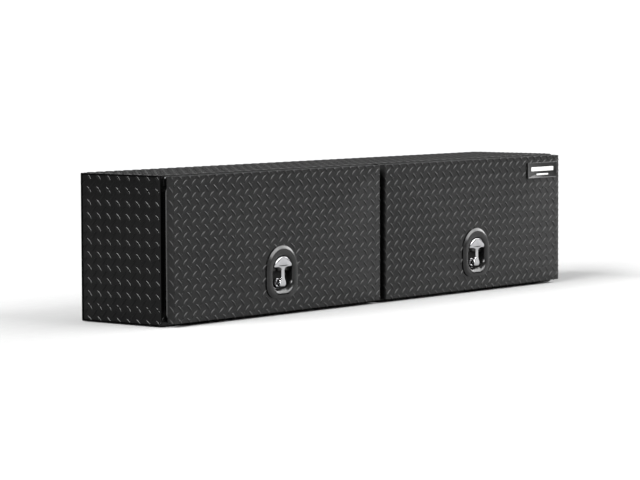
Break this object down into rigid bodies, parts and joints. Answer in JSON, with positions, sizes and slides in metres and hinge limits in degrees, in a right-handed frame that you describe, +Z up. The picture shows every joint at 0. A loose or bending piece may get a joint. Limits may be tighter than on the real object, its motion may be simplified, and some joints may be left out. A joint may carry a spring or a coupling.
{
  "type": "truck tool box",
  "caption": "Long low tread-plate tool box for a truck, with side-by-side lift-up doors, folding T-handle latches, seals and gas struts.",
  "frame": {"origin": "on the ground plane under the middle of the whole box", "axes": "+X along the box, +Y from the doors to the back, +Z up; the doors face -Y"},
  "size_m": [1.8288, 0.3366, 0.4064],
  "materials": {
    "black_tread": "satin black powder coat on raised-lug tread plate",
    "liner": "satin black powder coat",
    "gloss_black": "semi-gloss black",
    "chrome": "polished",
    "steel": "zinc plated",
    "rubber": "matte black",
    "strut_tube": "gloss black",
    "badge": "gloss black plate with plain white bars"
  },
  "bodies": {
    "box": {"body_wrap": "black_tread", "left_end_panel": "black_tread", "right_end_panel": "black_tread", "centre_post": "black_tread", "left_door_seal": "rubber", "left_hinge_body_leaf": "liner", "left_hinge_pin": "steel", "left_strike": "steel", "left_outer_strut_base": "steel", "left_inner_strut_base": "steel", "right_door_seal": "rubber", "right_hinge_body_leaf": "liner", "right_hinge_pin": "steel", "right_strike": "steel", "right_outer_strut_base": "steel", "right_inner_strut_base": "steel"},
    "left_door": {"left_door_skin": "black_tread", "left_door_liner": "liner", "left_hinge_door_leaf": "liner", "left_latch_pan": "gloss_black", "left_latch_gasket": "rubber", "left_outer_strut_arm": "steel", "left_inner_strut_arm": "steel"},
    "left_hub": {"left_latch_hub": "chrome", "left_handle_pin": "steel", "left_latch_cam": "steel", "left_cam_nut": "steel"},
    "left_handle": {"left_latch_handle": "chrome"},
    "left_outer_strut_tube": {"left_outer_strut_tube": "strut_tube"},
    "left_outer_strut_rod": {"left_outer_strut_rod": "chrome"},
    "left_inner_strut_tube": {"left_inner_strut_tube": "strut_tube"},
    "left_inner_strut_rod": {"left_inner_strut_rod": "chrome"},
    "right_door": {"right_door_skin": "black_tread", "right_door_liner": "liner", "right_hinge_door_leaf": "liner", "right_latch_pan": "gloss_black", "right_latch_gasket": "rubber", "right_outer_strut_arm": "steel", "right_inner_strut_arm": "steel", "badge_plate": "badge"},
    "right_hub": {"right_latch_hub": "chrome", "right_handle_pin": "steel", "right_latch_cam": "steel", "right_cam_nut": "steel"},
    "right_handle": {"right_latch_handle": "chrome"},
    "right_outer_strut_tube": {"right_outer_strut_tube": "strut_tube"},
    "right_outer_strut_rod": {"right_outer_strut_rod": "chrome"},
    "right_inner_strut_tube": {"right_inner_strut_tube": "strut_tube"},
    "right_inner_strut_rod": {"right_inner_strut_rod": "chrome"}
  },
  "joints": [
    {"name": "left_door_hinge", "type": "hinge", "parent": "box", "child": "left_door", "pos_m": [-0.4572, -0.13055, 0.3988], "axis": [-1, 0, 0], "range_deg": [0, 95]},
    {"name": "left_hub_turn", "type": "hinge", "parent": "left_door", "child": "left_hub", "pos_m": [-0.4572, -0.14135, 0.09], "axis": [0, 1, 0], "range_deg": [0, 90]},
    {"name": "left_handle_fold", "type": "hinge", "parent": "left_hub", "child": "left_handle", "pos_m": [-0.4572, -0.15935, 0.09], "axis": [1, 0, 0], "range_deg": [0, 90]},
    {"name": "left_outer_strut_pivot", "type": "hinge", "parent": "box", "child": "left_outer_strut_tube", "pos_m": [-0.845, 0.11465, 0.15], "axis": [1, 0, 0], "range_deg": [0, 2]},
    {"name": "left_outer_strut_slide", "type": "slide", "parent": "left_outer_strut_tube", "child": "left_outer_strut_rod", "axis": [0, -0.7863, 0.6178], "range_m": [0, 0.1113]},
    {"name": "left_inner_strut_pivot", "type": "hinge", "parent": "box", "child": "left_inner_strut_tube", "pos_m": [-0.08, 0.11465, 0.15], "axis": [1, 0, 0], "range_deg": [0, 2]},
    {"name": "left_inner_strut_slide", "type": "slide", "parent": "left_inner_strut_tube", "child": "left_inner_strut_rod", "axis": [0, -0.7863, 0.6178], "range_m": [0, 0.1113]},
    {"name": "right_door_hinge", "type": "hinge", "parent": "box", "child": "right_door", "pos_m": [0.4572, -0.13055, 0.3988], "axis": [-1, 0, 0], "range_deg": [0, 95]},
    {"name": "right_hub_turn", "type": "hinge", "parent": "right_door", "child": "right_hub", "pos_m": [0.4572, -0.14135, 0.09], "axis": [0, 1, 0], "range_deg": [0, 90]},
    {"name": "right_handle_fold", "type": "hinge", "parent": "right_hub", "child": "right_handle", "pos_m": [0.4572, -0.15935, 0.09], "axis": [1, 0, 0], "range_deg": [0, 90]},
    {"name": "right_outer_strut_pivot", "type": "hinge", "parent": "box", "child": "right_outer_strut_tube", "pos_m": [0.845, 0.11465, 0.15], "axis": [1, 0, 0], "range_deg": [0, 2]},
    {"name": "right_outer_strut_slide", "type": "slide", "parent": "right_outer_strut_tube", "child": "right_outer_strut_rod", "axis": [0, -0.7863, 0.6178], "range_m": [0, 0.1113]},
    {"name": "right_inner_strut_pivot", "type": "hinge", "parent": "box", "child": "right_inner_strut_tube", "pos_m": [0.08, 0.11465, 0.15], "axis": [1, 0, 0], "range_deg": [0, 2]},
    {"name": "right_inner_strut_slide", "type": "slide", "parent": "right_inner_strut_tube", "child": "right_inner_strut_rod", "axis": [0, -0.7863, 0.6178], "range_m": [0, 0.1113]}
  ],
  "couplings": [
    {"joint": "left_hub_turn", "follows": "left_handle_fold", "ratio": 1},
    {"joint": "left_outer_strut_pivot", "follows": "left_door_hinge", "ratio": 0.020436},
    {"joint": "left_outer_strut_slide", "follows": "left_door_hinge", "m_per_rad": 0.067082},
    {"joint": "left_inner_strut_pivot", "follows": "left_door_hinge", "ratio": 0.020436},
    {"joint": "left_inner_strut_slide", "follows": "left_door_hinge", "m_per_rad": 0.067082},
    {"joint": "right_hub_turn", "follows": "right_handle_fold", "ratio": 1},
    {"joint": "right_outer_strut_pivot", "follows": "right_door_hinge", "ratio": 0.020436},
    {"joint": "right_outer_strut_slide", "follows": "right_door_hinge", "m_per_rad": 0.067082},
    {"joint": "right_inner_strut_pivot", "follows": "right_door_hinge", "ratio": 0.020436},
    {"joint": "right_inner_strut_slide", "follows": "right_door_hinge", "m_per_rad": 0.067082}
  ]
}
